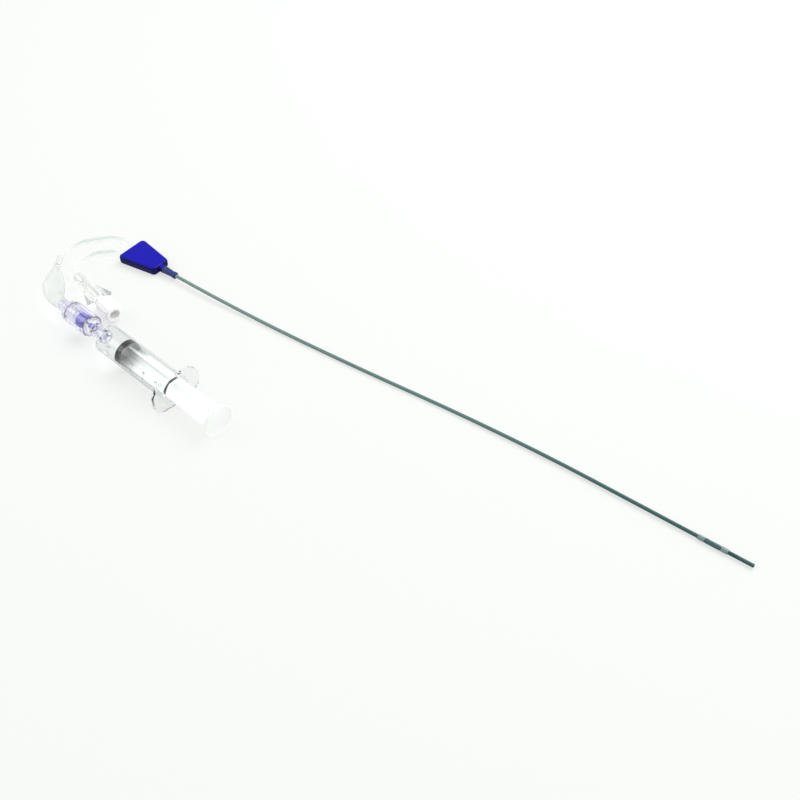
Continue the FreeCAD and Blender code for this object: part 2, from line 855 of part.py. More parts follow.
def syringe_barrel():
    tip = size.luer_grip + size.nozzle_free_length
    mouth_gap = size.nozzle_free_length
    nozzle_root = size.luer_mouth_radius - size.luer_fit_gap
    nozzle_end = nozzle_root - size.luer_slope * size.luer_grip
    front = tip + size.barrel_front_wall
    end = tip + size.barrel_length
    profile = [
        (ZERO, size.nozzle_bore),
        (ZERO, nozzle_end),
        (tip - mouth_gap, nozzle_root),
        (tip - mouth_gap + 0.5, nozzle_root),
        (tip, size.nozzle_root_radius),
        (tip, size.barrel_radius - size.barrel_shoulder),
        (tip + size.barrel_shoulder, size.barrel_radius),
        (end, size.barrel_radius),
        (end, size.barrel_bore),
        (front, size.barrel_bore),
        (front, size.nozzle_bore),
    ]
    body = turned("syringe_barrel", profile, nozzle_tip, *AXIS)
    half_wide, half_high = size.flange_width / 2, size.flange_height / 2
    cut = size.flange_height / 4
    plan = [
        (-half_wide + cut, -half_high),
        (half_wide - cut, -half_high),
        (half_wide, -half_high + cut),
        (half_wide, half_high - cut),
        (half_wide - cut, half_high),
        (-half_wide + cut, half_high),
        (-half_wide, half_high - cut),
        (-half_wide, -half_high + cut),
    ]
    face = outline(body, "flange_plan", "YZ_Plane", plan, slide=end - size.flange_thickness)
    pad(body, face, "finger_flange", size.flange_thickness)

    def is_flange_corner(edge):
        box = edge.BoundBox
        straight = isinstance(edge.Curve, Part.Line)
        return straight and box.YLength < 1e-6 and box.ZLength < 1e-6 and abs(box.Center.y) > 6.0

    rounded(body, "flange_corners", size.flange_height / 5, is_flange_corner)
    start = end - size.flange_thickness - 1.0
    depth = size.flange_thickness + 2.0
    drilled(body, "bore_through_flange", size.barrel_bore, depth, start, ZERO, ZERO)
    return body


def gasket():
    long, rib = size.gasket_length, size.gasket_rib_width
    outer = size.barrel_bore - size.gasket_running_gap
    neck = size.head_neck_radius + size.end_gap
    pocket = size.head_radius + size.end_gap
    profile = [
        (ZERO, ZERO),
        (size.gasket_cone, outer - 0.5),
        (size.gasket_cone + 0.25, outer),
        (size.gasket_cone + rib, outer),
        (size.gasket_cone + rib + 0.3, size.gasket_waist),
        (long - rib - 0.3, size.gasket_waist),
        (long - rib, outer),
        (long - 0.2, outer),
        (long, outer - 0.4),
        (long, neck),
        (long - size.head_neck_length, neck),
        (long - size.head_neck_length, pocket),
        (long - size.head_neck_length - size.head_length - 0.1, pocket),
        (long - size.head_neck_length - size.head_length - 0.1, ZERO),
    ]
    return turned("plunger_gasket", profile, gasket_start, *AXIS)


def plunger_rod():
    """Four fins between a front disc and a thumb rest, with a head that the gasket grips."""
    thumb = axis_height - 0.2
    head, neck, disc = size.head_length, size.head_neck_length, size.rod_disc_thickness
    start = gasket_start + size.gasket_length - neck - head
    grip = head + neck + size.end_gap
    profile = [
        (ZERO, ZERO),
        (ZERO, size.head_radius - 0.5),
        (mm(0.5), size.head_radius),
        (head, size.head_radius),
        (head, size.head_neck_radius),
        (grip, size.head_neck_radius),
        (grip, size.rod_disc_radius),
        (grip + disc, size.rod_disc_radius),
        (grip + disc, size.rod_fin_thickness),
        (size.rod_length, size.rod_fin_thickness),
        (size.rod_length, thumb - 0.5),
        (size.rod_length + 0.5, thumb),
        (size.rod_length + size.thumb_thickness - 0.4, thumb),
        (size.rod_length + size.thumb_thickness, thumb - 0.4),
        (size.rod_length + size.thumb_thickness, ZERO),
    ]
    body = turned("plunger_rod", profile, start, *AXIS)
    fin = block(
        body,
        "rod_fin",
        grip + disc - 0.1,
        -(size.rod_fin_thickness / 2),
        ZERO,
        size.rod_length - grip - disc + 0.2,
        size.rod_fin_thickness,
        size.rod_fin_width / 2,
    )
    around(body, fin, "rod_fins", 4)
    return body


# Contrast connector: a winged female luer, and the white cap that closes it.

CONTRAST_HEADING = Rotation(Vector(0, 0, -1), size.contrast_turn.number).multVec(Vector(1, 0, 0))
CONTRAST_START = (-10.8, -32.8)


def contrast_spot(distance):
    """A point on the connector's axis, that far from its tail."""
    start = Vector(*CONTRAST_START, size.contrast_height.number)
    return start + CONTRAST_HEADING * distance.number


def contrast_connector():
    long, tail = size.connector_length, size.connector_tail_length
    socket = size.line_radius + size.socket_clearance
    cone = female_luer(long)
    profile = [
        (ZERO, socket),
        (ZERO, size.connector_tail_radius),
        (tail, size.connector_tail_radius + 0.3),
        (tail + 1.2, size.connector_radius),
        (long, size.connector_radius),
        *reversed(cone),
        (long - size.luer_grip - 1.0, size.connector_bore),
        (size.line_socket_depth, size.connector_bore),
        (size.line_socket_depth, socket),
    ]
    x, y = (Size(value, repr(value)) for value in CONTRAST_START)
    body = turned("contrast_connector", profile, x, y, size.contrast_height, size.contrast_turn)
    start, end = size.wing_start, size.wing_start + size.wing_length
    root = size.connector_tail_radius - 0.5
    for side, way in (("far", 1), ("near", -1)):
        plan = [
            (start, way * root),
            (start, way * size.wing_root_reach),
            (end, way * size.wing_end_reach),
            (end, way * root),
        ]
        wing = outline(body, f"{side}_wing_plan", "XY_Plane", plan)
        pad(body, wing, f"{side}_wing", size.wing_thickness, midplane=True)
    lugs(body, long, size.connector_radius)
    return body


def luer_cap():
    """A cap with a skirt round the port and a plug in the port's cone."""
    skirt, long, wall = size.cap_skirt_length, size.cap_length, size.cap_wall
    plug_root = size.luer_mouth_radius - size.luer_fit_gap
    plug_end = plug_root - size.luer_slope * size.luer_grip
    plug_start = skirt - size.luer_grip
    profile = [
        (plug_start, ZERO),
        (plug_start, plug_end),
        (skirt, plug_root),
        (skirt, size.cap_skirt_bore),
        (ZERO, size.cap_skirt_bore),
        (ZERO, size.cap_radius),
        (long - 0.8, size.cap_radius),
        (long, size.cap_radius - 0.8),
        (long, size.cap_radius - wall),
        (skirt + wall, size.cap_radius - wall - 0.2),
        (skirt + wall, ZERO),
    ]
    shift = size.connector_length - skirt + size.end_gap
    spot = contrast_spot(shift)
    body = turned("luer_cap", profile)
    for letter in "xyz":
        body.setExpression(f"Placement.Base.{letter}", None)
    body.Placement = Placement(spot, Rotation(Vector(0, 0, -1), size.contrast_turn.number))
    rib = block(
        body,
        "cap_rib",
        mm(0.6),
        -(size.cap_rib_width / 2),
        size.cap_radius - 0.3,
        long - 2.4,
        size.cap_rib_width,
        size.cap_rib_height + 0.3,
    )
    around(body, rib, "cap_ribs", 12)
    return body


hub()
shaft()
relief()
balloon()
lines()
pilot_balloon()
valve_tail()
valve_housing()
valve_core()
valve_seal()
valve_spring()
syringe_barrel()
gasket()
plunger_rod()
contrast_connector()
luer_cap()

doc.recompute()
for item in doc.Objects:
    if "Invalid" in item.State or "Error" in item.State:
        raise RuntimeError(f"{item.Name} failed: {item.State}")
for name, item in made.items():
    shape = item.Shape
    if shape.isNull() or not shape.isValid() or not shape.Solids:
        raise RuntimeError(f"{name} has no valid solid")
for name, item in made.items():
    item.Shape.exportStep(f"parts/{name}.step")
    box = item.Shape.BoundBox
    print(
        f"{name}: {len(item.Shape.Solids)} solid, {item.Shape.Volume:.2f} mm3, "
        f"x {box.XMin:.2f} to {box.XMax:.2f}, y {box.YMin:.2f} to {box.YMax:.2f}, "
        f"z {box.ZMin:.2f} to {box.ZMax:.2f}"
    )
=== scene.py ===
# %% [markdown]
# # A balloon catheter for hysterosalpingography
# The frame is the CAD model. It gives every rigid piece its form, and this script gives the pieces
# their finish, makes the soft clear ones again as thin film and tube, and lights them as in a small
# studio. Sizes below are in millimetres unless a name says otherwise.

import json
import math

import bpy
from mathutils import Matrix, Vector

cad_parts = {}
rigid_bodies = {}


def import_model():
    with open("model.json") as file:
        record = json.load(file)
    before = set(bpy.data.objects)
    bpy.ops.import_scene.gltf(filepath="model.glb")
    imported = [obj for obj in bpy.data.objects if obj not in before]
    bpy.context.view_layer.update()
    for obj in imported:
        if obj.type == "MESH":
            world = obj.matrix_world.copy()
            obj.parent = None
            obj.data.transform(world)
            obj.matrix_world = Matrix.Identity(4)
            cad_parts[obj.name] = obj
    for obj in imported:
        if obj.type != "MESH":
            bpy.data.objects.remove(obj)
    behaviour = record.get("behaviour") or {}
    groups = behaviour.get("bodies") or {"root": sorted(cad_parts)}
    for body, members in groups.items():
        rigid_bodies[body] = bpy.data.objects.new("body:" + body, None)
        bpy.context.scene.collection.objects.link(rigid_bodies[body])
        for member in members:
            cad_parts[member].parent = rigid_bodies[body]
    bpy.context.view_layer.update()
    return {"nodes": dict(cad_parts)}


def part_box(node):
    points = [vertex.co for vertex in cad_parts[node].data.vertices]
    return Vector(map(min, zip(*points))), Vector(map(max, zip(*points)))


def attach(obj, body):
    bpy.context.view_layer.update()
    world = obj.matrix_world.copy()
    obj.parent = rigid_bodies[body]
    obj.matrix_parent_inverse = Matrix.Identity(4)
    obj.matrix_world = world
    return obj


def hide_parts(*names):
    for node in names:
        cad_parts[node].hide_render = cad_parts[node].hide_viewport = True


MM = 0.001

for item in list(bpy.data.objects):
    bpy.data.objects.remove(item)
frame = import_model()
nodes = frame["nodes"]
print("CAD nodes:", ", ".join(sorted(nodes)))


# %% [markdown]
# ## Tools for shaders
# An effect is a node group with named inputs and outputs that hands on colours, masks and normals.
# The shader itself stays in each material, with its constants on its own sockets, so that it
# reads as one finish.

# %% Shader tools
SOCKETS = {"color": "NodeSocketColor", "number": "NodeSocketFloat", "vector": "NodeSocketVector"}


def effect(name, inputs, outputs):
    """A new node group, with its input and output nodes."""
    group = bpy.data.node_groups.new(name, "ShaderNodeTree")
    for direction, sockets in (("INPUT", inputs), ("OUTPUT", outputs)):
        for label, kind, *default in sockets:
            socket = group.interface.new_socket(label, in_out=direction, socket_type=SOCKETS[kind])
            if default:
                socket.default_value = default[0]
    return group, group.nodes.new("NodeGroupInput"), group.nodes.new("NodeGroupOutput")


def add(tree, kind, inputs=None, **settings):
    """Adds a node, sets its properties, and sets or links its inputs by name or number."""
    node = tree.nodes.new(kind)
    for key, value in settings.items():
        setattr(node, key, value)
    for key, value in (inputs or {}).items():
        if isinstance(value, bpy.types.NodeSocket):
            tree.links.new(value, node.inputs[key])
        else:
            node.inputs[key].default_value = value
    return node


def mix(tree, share, first, second):
    """The colour output of a mix of two colours."""
    # The node has inputs for numbers, vectors and colours: 6, 7 and output 2 are the colours.
    node = add(tree, "ShaderNodeMix", {0: share, 6: first, 7: second}, data_type="RGBA")
    return node.outputs[2]


def mix_shaders(tree, share, first, second):
    """A mix of two shader nodes."""
    return add(tree, "ShaderNodeMixShader", {0: share, 1: first.outputs[0], 2: second.outputs[0]})


def smooth_share(tree, value, low, high):
    """0 to 1 as the value goes from low to high, eased at both ends."""
    ramp = add(tree, "ShaderNodeMapRange", {"Value": value, "From Min": low, "From Max": high},
               interpolation_type="SMOOTHSTEP")
    return ramp.outputs[0]


def material(name, **sockets):
    """A material with one Principled shader whose own sockets hold the constants."""
    made = bpy.data.materials.new(name)
    made.use_nodes = True
    shader = made.node_tree.nodes["Principled BSDF"]
    for key, value in sockets.items():
        shader.inputs[key.replace("_", " ")].default_value = value
    return made, made.node_tree, shader


def use(tree, group, inputs=None):
    """Adds a node group to a material."""
    return add(tree, "ShaderNodeGroup", inputs, node_tree=group)


# %% [markdown]
# ## Effects
# Moulded plastic is never perfectly even: the colour drifts a little and the skin has a faint
# orange peel. A colour can change along a piece's length, which paints light on the shaft and shade
# on the rod, and between its top and its sides, which paints shade on the hub. Clear plastic is
# clearest face on and takes its tint at the edges, where the line of sight runs through more of it.
# A picture could carry all this, but a few nodes do it at any size and in any pose.

# %% Effects
PEEL_HEIGHT = 0.00005


def moulded_skin():
    """An uneven colour and a finely pitted normal. The peel's height is in metres."""
    group, start, end = effect(
        "moulded_skin",
        [("Color", "color", (0.5, 0.5, 0.5, 1)), ("Drift", "number", 0.1), ("Peel", "number", 0.1),
         ("Size", "number", 900.0)],
        [("Color", "color"), ("Normal", "vector")],
    )
    place = add(group, "ShaderNodeTexCoord").outputs["Object"]
    cloud = add(group, "ShaderNodeTexNoise", {"Vector": place, "Scale": 90.0, "Detail": 3.0})
    darker = add(group, "ShaderNodeHueSaturation", {"Color": start.outputs["Color"], "Value": 0.72})
    drift = add(group, "ShaderNodeMath", {0: cloud.outputs["Fac"], 1: start.outputs["Drift"]},
                operation="MULTIPLY")
    color = mix(group, drift.outputs[0], start.outputs["Color"], darker.outputs[0])
    peel = add(group, "ShaderNodeTexNoise",
               {"Vector": place, "Scale": start.outputs["Size"], "Detail": 2.0})
    bump = add(group, "ShaderNodeBump", {"Height": peel.outputs["Fac"],
                                         "Strength": start.outputs["Peel"],
                                         "Distance": PEEL_HEIGHT})
    group.links.new(color, end.inputs["Color"])
    group.links.new(bump.outputs[0], end.inputs["Normal"])
    return group


def along_length():
    """A share that goes from 0 to 1 between two places along +X, in metres."""
    group, start, end = effect(
        "along_length",
        [("From", "number", 0.0), ("To", "number", 1.0)],
        [("Share", "number")],
    )
    place = add(group, "ShaderNodeTexCoord").outputs["Object"]
    split = add(group, "ShaderNodeSeparateXYZ", {0: place})
    share = smooth_share(group, split.outputs["X"], start.outputs["From"], start.outputs["To"])
    group.links.new(share, end.inputs["Share"])
    return group


def clear_tint():
    """One colour face on and another at the edges."""
    group, start, end = effect(
        "clear_tint",
        [("Facing", "number", 0.5), ("Face", "color", (1, 1, 1, 1)),
         ("Edge", "color", (0.7, 0.8, 0.8, 1))],
        [("Color", "color")],
    )
    steep = add(group, "ShaderNodeMath", {0: start.outputs["Facing"], 1: 2.5}, operation="POWER")
    color = mix(group, steep.outputs[0], start.outputs["Face"], start.outputs["Edge"])
    group.links.new(color, end.inputs["Color"])
    return group


def painted_side_shade():
    """Painted shade: one colour on faces that look up and a darker one on the sides, where less
    light falls.
    """
    group, start, end = effect(
        "painted_side_shade",
        [("Top", "color", (0.5, 0.5, 0.5, 1)), ("Side", "color", (0.1, 0.1, 0.1, 1)),
         ("From", "number", 0.75), ("To", "number", 0.97)],
        [("Color", "color")],
    )
    normal = add(group, "ShaderNodeNewGeometry").outputs["Normal"]
    split = add(group, "ShaderNodeSeparateXYZ", {0: normal})
    share = smooth_share(group, split.outputs["Z"], start.outputs["From"], start.outputs["To"])
    color = mix(group, share, start.outputs["Side"], start.outputs["Top"])
    group.links.new(color, end.inputs["Color"])
    return group


SKIN = moulded_skin()
LENGTH = along_length()
TINT = clear_tint()
PAINTED_SIDE_SHADE = painted_side_shade()
print("effects:", [group.name for group in bpy.data.node_groups])


# %% [markdown]
# ## Opaque finishes
# The hub is a satin moulding in vivid blue, with painted shade on its sides. The shaft is a satin
# teal extrusion, painted paler near the hub where light washes it out, and deeper towards the tip.
# The strain relief is a duller blue. Each plastic is one Principled shader, and the moulded skin
# gives it its colour, so all of them stay easy to change.

# %% Opaque finishes
def put_skin(tree, shader, color, drift=0.12, peel=0.12, size=900.0):
    """Gives a shader its colour through the moulded skin."""
    skin = use(tree, SKIN, {"Color": color, "Drift": drift, "Peel": peel, "Size": size})
    tree.links.new(skin.outputs["Color"], shader.inputs["Base Color"])
    tree.links.new(skin.outputs["Normal"], shader.inputs["Normal"])


def plastic(name, color, roughness, drift=0.12, peel=0.12, **sockets):
    """A plain moulded plastic or rubber."""
    made, tree, shader = material(name, Roughness=roughness, **sockets)
    put_skin(tree, shader, (*color, 1), drift, peel)
    return made


def hub_finish():
    """Deep blue, with painted shade where the rounded edge turns away from the light."""
    made, tree, shader = material("hub_blue", Roughness=0.36, Specular_IOR_Level=0.11)
    # The dark side colour is painted shade, not a second colour of the plastic.
    shade = use(tree, PAINTED_SIDE_SHADE, {"Top": (0.003, 0.002, 0.310, 1), "Side": (0.001, 0.002, 0.075, 1)})
    put_skin(tree, shader, shade.outputs["Color"])
    return made


def shaft_finish():
    """Teal that deepens along the shaft, with a still deeper stretch in front of the balloon.

    The paler teal near the hub is painted light, where light washes the shaft out.
    The ranges are distances in metres along +X, from the hub's middle.
    """
    made, tree, shader = material("shaft_teal", Roughness=0.38, Specular_IOR_Level=0.3)
    first = use(tree, LENGTH, {"From": 0.02, "To": 0.16})
    second = use(tree, LENGTH, {"From": 0.14, "To": 0.31})
    # The paler teal near the hub is painted light.
    pale = mix(tree, first.outputs[0], (0.156, 0.220, 0.212, 1), (0.088, 0.166, 0.152, 1))
    deep = mix(tree, second.outputs[0], pale, (0.021, 0.074, 0.070, 1))
    begins = use(tree, LENGTH, {"From": 0.3080, "To": 0.3105})
    ends = use(tree, LENGTH, {"From": 0.3165, "To": 0.3140})
    stretch = add(tree, "ShaderNodeMath", {0: begins.outputs[0], 1: ends.outputs[0]},
                  operation="MULTIPLY")
    color = mix(tree, stretch.outputs[0], deep, (0.001, 0.050, 0.042, 1))
    put_skin(tree, shader, color, drift=0.15, peel=0.08, size=1400.0)
    return made


HUB = hub_finish()
SHAFT = shaft_finish()
RELIEF = plastic("relief_blue", (0.006, 0.022, 0.140), 0.42, Specular_IOR_Level=0.35)
BALLOON = plastic("balloon_film", (0.014, 0.076, 0.072), 0.34, peel=0.3)
BOND = plastic("bond_grey", (0.145, 0.207, 0.203), 0.25)
RUBBER = plastic("black_rubber", (0.007, 0.007, 0.008), 0.55, peel=0.25, Specular_IOR_Level=0.2)
SEAL = plastic("seal_rubber", (0.050, 0.045, 0.230), 0.45, peel=0.25)
CAP = plastic("cap_white", (0.93, 0.93, 0.92), 0.38, drift=0.04)
CORE = plastic("core_blue", (0.150, 0.135, 0.480), 0.3)
INK = plastic("scale_ink", (0.19, 0.20, 0.21), 0.5)
STEEL = plastic("spring_steel", (0.55, 0.55, 0.56), 0.22, Metallic=1.0)
print("opaque finishes, from", HUB.name, "to", STEEL.name)


# %% [markdown]
# ## Routes
# The two clear lines follow the points that the CAD model uses: straight runs joined by tangent
# arcs. An arc begins and ends at 0.45 of the shorter run from its corner. A Bezier curve would look
# much the same, but only the same points and arcs put the tube exactly where its solid is.

# %% Routes
ARC_SHARE = 0.45
ARC_STEPS = 30
RUN_STEPS = 8
HUB_TURN = math.radians(5.0)
SOCKET_END = -6.0
SOCKET_HEIGHT = 2.2
BALLOON_PORT = 4.6
CONTRAST_PORT = -4.6
CONNECTOR_TAIL = (-10.8, -32.8, 4.7)
CONNECTOR_TURN = math.radians(-8.0)


def from_hub(along, across):
    """A point at the height of the hub's sockets, measured along and across the turned hub."""
    x = along * math.cos(HUB_TURN) - across * math.sin(HUB_TURN)
    return (x, along * math.sin(HUB_TURN) + across * math.cos(HUB_TURN), SOCKET_HEIGHT)


def on_connector(along):
    """A point on the axis of the contrast connector, measured from its tail."""
    x, y, z = CONNECTOR_TAIL
    return (x + along * math.cos(CONNECTOR_TURN), y + along * math.sin(CONNECTOR_TURN), z)


BALLOON_LINE = [
    from_hub(SOCKET_END, BALLOON_PORT), from_hub(-24.5, BALLOON_PORT), (-35.8, -12.6, 1.3),
    (-36.0, -24.0, 1.7), (-29.0, -32.4, 1.7),
]
CONTRAST_LINE = [
    from_hub(SOCKET_END, CONTRAST_PORT), from_hub(-16.3, CONTRAST_PORT), (-23.01, -13.63, 1.7),
    (-23.28, -24.09, 2.9), on_connector(-5.7), on_connector(5.0),
]


def centreline(points):
    """Close points along straight runs joined by arcs, in metres."""
    corners = [Vector(spot) * MM for spot in points]
    line = [corners[0]]

    def straight_to(goal):
        start = line[-1]
        line.extend(start.lerp(goal, step / RUN_STEPS) for step in range(1, RUN_STEPS))

    for before, corner, after in zip(corners, corners[1:], corners[2:]):
        back, ahead = (before - corner).normalized(), (after - corner).normalized()
        reach = ARC_SHARE * min((before - corner).length, (after - corner).length)
        half_turn = (math.pi - back.angle(ahead)) / 2
        radius = reach / math.tan(half_turn)
        middle = (back + ahead).normalized()
        centre = corner + middle * (radius / math.cos(half_turn))
        side = (ahead - back).normalized()
        straight_to(corner + back * reach)
        for step in range(ARC_STEPS + 1):
            angle = half_turn * (2 * step / ARC_STEPS - 1)
            line.append(centre + (side * math.sin(angle) - middle * math.cos(angle)) * radius)
    straight_to(corners[-1])
    return line + [corners[-1]]


def length_of(line):
    """The length of a line of close points, in metres."""
    return sum((b - a).length for a, b in zip(line, line[1:]))


for name, points in (("balloon line", BALLOON_LINE), ("contrast line", CONTRAST_LINE)):
    print(f"{name}: {length_of(centreline(points)) / MM:.1f} mm")


# %% [markdown]
# ## Clear finishes
# Tube, film and mouldings are clear plastics with a faint tint at the edges. Light that only passes
# on to the table goes straight through, because the renderer would otherwise give glass a black
# shadow, and a clear syringe on a table has a pale one. The tint is a colour on the shader's own
# socket and no cloudy inside, which would cost much time and show little in walls this thin.

# %% Clear finishes
CLEAR_SHADOW = 0.93
MILKY_SHADOW = 0.75
# Distances from the connector's axis between which its clear body gives way to the painted shade on
# its wings.
WINGS_BEGIN, WINGS_FULL_SHADE = 4.0, 4.8
# Distances from the rod's front: the edge and the back of its disc, and where the painted shade has
# faded.
ROD_PAINTED_SHADE = (2.6, 3.6, 14.0)


def pale_shadow(tree, shader, share):
    """Each surface lets this share of the light on to the table."""
    through = add(tree, "ShaderNodeBsdfTransparent", {"Color": (share, share, share, 1)})
    ray = add(tree, "ShaderNodeLightPath")
    both = mix_shaders(tree, ray.outputs["Is Shadow Ray"], shader, through)
    tree.links.new(both.outputs[0], tree.nodes["Material Output"].inputs["Surface"])


def clear(name, face, edge, roughness, ior):
    """Clear plastic with a colour face on, a colour at its edges and a pale shadow."""
    made, tree, shader = material(name, Roughness=roughness, IOR=ior)
    shader.inputs["Transmission Weight"].default_value = 1.0
    facing = add(tree, "ShaderNodeLayerWeight", {"Blend": 0.35}).outputs["Facing"]
    tint = use(tree, TINT, {"Facing": facing, "Face": (*face, 1), "Edge": (*edge, 1)})
    tree.links.new(tint.outputs[0], shader.inputs["Base Color"])
    pale_shadow(tree, shader, CLEAR_SHADOW)
    return made


def connector_finish():
    """Clear plastic with painted shade that makes its wings greyer than the body between them."""
    made = clear("connector_clear", (0.92, 0.93, 0.925), (0.20, 0.21, 0.22), 0.05, 1.42)
    tree = made.node_tree
    shader = tree.nodes["Principled BSDF"]
    body = shader.inputs["Base Color"].links[0].from_socket
    place = add(tree, "ShaderNodeTexCoord").outputs["Object"]
    tail = Vector(CONNECTOR_TAIL) * MM
    sideways = (-math.sin(CONNECTOR_TURN), math.cos(CONNECTOR_TURN), 0.0)
    away = add(tree, "ShaderNodeVectorMath", {0: place, 1: tail}, operation="SUBTRACT")
    across = add(tree, "ShaderNodeVectorMath", {0: away.outputs["Vector"], 1: sideways},
                 operation="DOT_PRODUCT")
    reach = add(tree, "ShaderNodeMath", {0: across.outputs["Value"]}, operation="ABSOLUTE")
    painted_wing_shade = add(tree, "ShaderNodeMapRange", {"Value": reach.outputs[0],
                                            "From Min": WINGS_BEGIN * MM,
                                            "From Max": WINGS_FULL_SHADE * MM})
    # Painted shade: the wings are mixed towards grey.
    color = mix(tree, painted_wing_shade.outputs[0], body, (0.50, 0.50, 0.51, 1))
    tree.links.new(color, shader.inputs["Base Color"])
    return made


def rod_finish():
    """Milky plastic that lets some light through, with painted shade that greys it next to the black
    rubber.
    """
    made, tree, shader = material("rod_plastic", Roughness=0.45, Transmission_Weight=0.35)
    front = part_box("plunger_rod")[0].x
    disc_edge, disc_back, all_pale = (front + along * MM for along in ROD_PAINTED_SHADE)
    disc = use(tree, LENGTH, {"From": disc_edge, "To": disc_back})
    rod = use(tree, LENGTH, {"From": disc_back, "To": all_pale})
    # Painted shade: near black on the rod's front disc, then grey that fades into the rod's own pale
    # colour.
    painted_rod_grey = mix(tree, disc.outputs[0], (0.04, 0.04, 0.04, 1), (0.38, 0.39, 0.39, 1))
    color = mix(tree, rod.outputs[0], painted_rod_grey, (0.95, 0.97, 0.96, 1))
    put_skin(tree, shader, color, drift=0.05, peel=0.1, size=700.0)
    pale_shadow(tree, shader, MILKY_SHADOW)
    return made


TUBE = clear("clear_tube", (0.89, 0.92, 0.90), (0.60, 0.66, 0.64), 0.08, 1.40)
FILM = clear("clear_film", (0.955, 0.965, 0.958), (0.66, 0.70, 0.70), 0.12, 1.25)
MOULDING = clear("clear_moulding", (0.93, 0.945, 0.94), (0.38, 0.42, 0.43), 0.04, 1.36)
CONNECTOR = connector_finish()
LAVENDER = clear("valve_clear", (0.88, 0.87, 0.96), (0.62, 0.59, 0.78), 0.05, 1.42)
FROSTED = rod_finish()
print("clear finishes, from", TUBE.name, "to", FROSTED.name)


# %% [markdown]
# ## The CAD pieces
# Every rigid piece keeps its CAD form and takes the finish of its plastic. It could be modelled
# here again, but the solid has the true sizes already, and its holes and walls are real. The two
# lines, the pilot balloon and the sleeve are dressed too, and are replaced by softer forms below.

# %% Dress the CAD pieces
FINISHES = {
    "paddle_hub": HUB,
    "catheter_shaft": SHAFT,
    "strain_relief": RELIEF,
    "balloon_sleeve": BALLOON,
    "rear_balloon_bond": BOND,
    "front_balloon_bond": BOND,
    "balloon_line": TUBE,
    "contrast_line": TUBE,
    "pilot_balloon": FILM,
    "valve_tail": LAVENDER,
    "valve_housing": LAVENDER,
    "valve_core": CORE,
    "valve_seal": SEAL,
    "valve_spring": STEEL,
    "syringe_barrel": MOULDING,
    "plunger_gasket": RUBBER,
    "plunger_rod": FROSTED,
    "contrast_connector": CONNECTOR,
    "luer_cap": CAP,
}
for name, finish in FINISHES.items():
    nodes[name].data.materials.clear()
    nodes[name].data.materials.append(finish)
finish_names = {finish.name for finish in FINISHES.values()}
print("dressed", len(FINISHES), "nodes in", len(finish_names), "finishes")


# %% [markdown]
# ## Meshes from rings
# A tube or a film is a skin over rings of points. Each ring stands square to the line, and its
# sideways way is carried along, so the skin never twists. A curve with a round bevel would be less
# work, but it has no inner wall, and clear plastic needs both of its walls to look right.

# %% Ring tools
SHARP_TURN = math.radians(60)


def mesh_object(name, points, faces, finish, smooth=True):
    """A new object. Smooth shading stops at square edges, such as those at a tube's cut ends."""
    mesh = bpy.data.meshes.new(name)
    mesh.from_pydata([tuple(spot) for spot in points], [], faces)
    mesh.materials.append(finish)
    mesh.update()
    if smooth:
        mesh.shade_smooth()
        mesh.set_sharp_from_angle(angle=SHARP_TURN)
    made = bpy.data.objects.new(name, mesh)
    bpy.context.scene.collection.objects.link(made)
    return made


def frames_along(line):
    """For each point of a line: the point, the sideways way and the upward way."""
    side = (line[1] - line[0]).cross(Vector((0, 0, 1))).normalized()
    found = []
    for i, spot in enumerate(line):
        ahead = (line[min(i + 1, len(line) - 1)] - line[max(i - 1, 0)]).normalized()
        side = (side - ahead * side.dot(ahead)).normalized()
        found.append((spot, side, side.cross(ahead)))
    return found


def hollow_skin(name, outer, inner, finish):
    """An outer and an inner skin, each given as rings of points, closed at both ends."""
    rows, around = len(outer), len(outer[0])
    points = [spot for rings in (outer, inner) for ring in rings for spot in ring]
    per_skin = rows * around
    faces = []

    def quad(a, b, flip):
        faces.append((a[0], b[0], b[1], a[1]) if flip else (a[0], a[1], b[1], b[0]))

    for skin, flip in ((0, False), (per_skin, True)):
        for row in range(rows - 1):
            for k in range(around):
                here = skin + row * around + k
                beside = skin + row * around + (k + 1) % around
                quad((here, beside), (here + around, beside + around), flip)
    for row, flip in ((0, True), (rows - 1, False)):
        for k in range(around):
            here, beside = row * around + k, row * around + (k + 1) % around
            quad((here, beside), (here + per_skin, beside + per_skin), flip)
    return mesh_object(name, points, faces, finish)


def turns_round(count):
    """Even turns once round a ring, in radians."""
    return [2 * math.pi * k / count for k in range(count)]


def ring_at(frame_here, radii):
    """A ring of points, evenly round the line, one for each pair of radii (sideways, upwards)."""
    spot, side, up = frame_here
    return [
        spot + side * (math.cos(turn) * wide) + up * (math.sin(turn) * high)
        for turn, (wide, high) in zip(turns_round(len(radii)), radii)
    ]


def annular_tube(name, line, outer, inner, finish, around=40):
    """A hollow round tube."""
    rows = frames_along(line)

    def skin(radius):
        return [ring_at(row, [(radius, radius)] * around) for row in rows]

    return hollow_skin(name, skin(outer), skin(inner), finish)


# %% [markdown]
# ## Clear lines
# Each line is a soft hollow tube that lies free between the hub and its fitting. The solid has the
# same bore. The scene's own tube takes its place.

# %% Clear lines
LINE_RADIUS = 1.2
LINE_BORE = 0.7


def clear_line(name, points):
    """A line's tube, which leaves the hub at its port: the distance across the hub."""
    line = centreline(points)
    tube = annular_tube(f"{name}_tube", line, LINE_RADIUS * MM, LINE_BORE * MM, TUBE)
    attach(tube, "catheter")
    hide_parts(name)
    return tube


balloon_tube = clear_line("balloon_line", BALLOON_LINE)
contrast_tube = clear_line("contrast_line", CONTRAST_LINE)
print("tube faces:", len(balloon_tube.data.polygons), "and", len(contrast_tube.data.polygons))


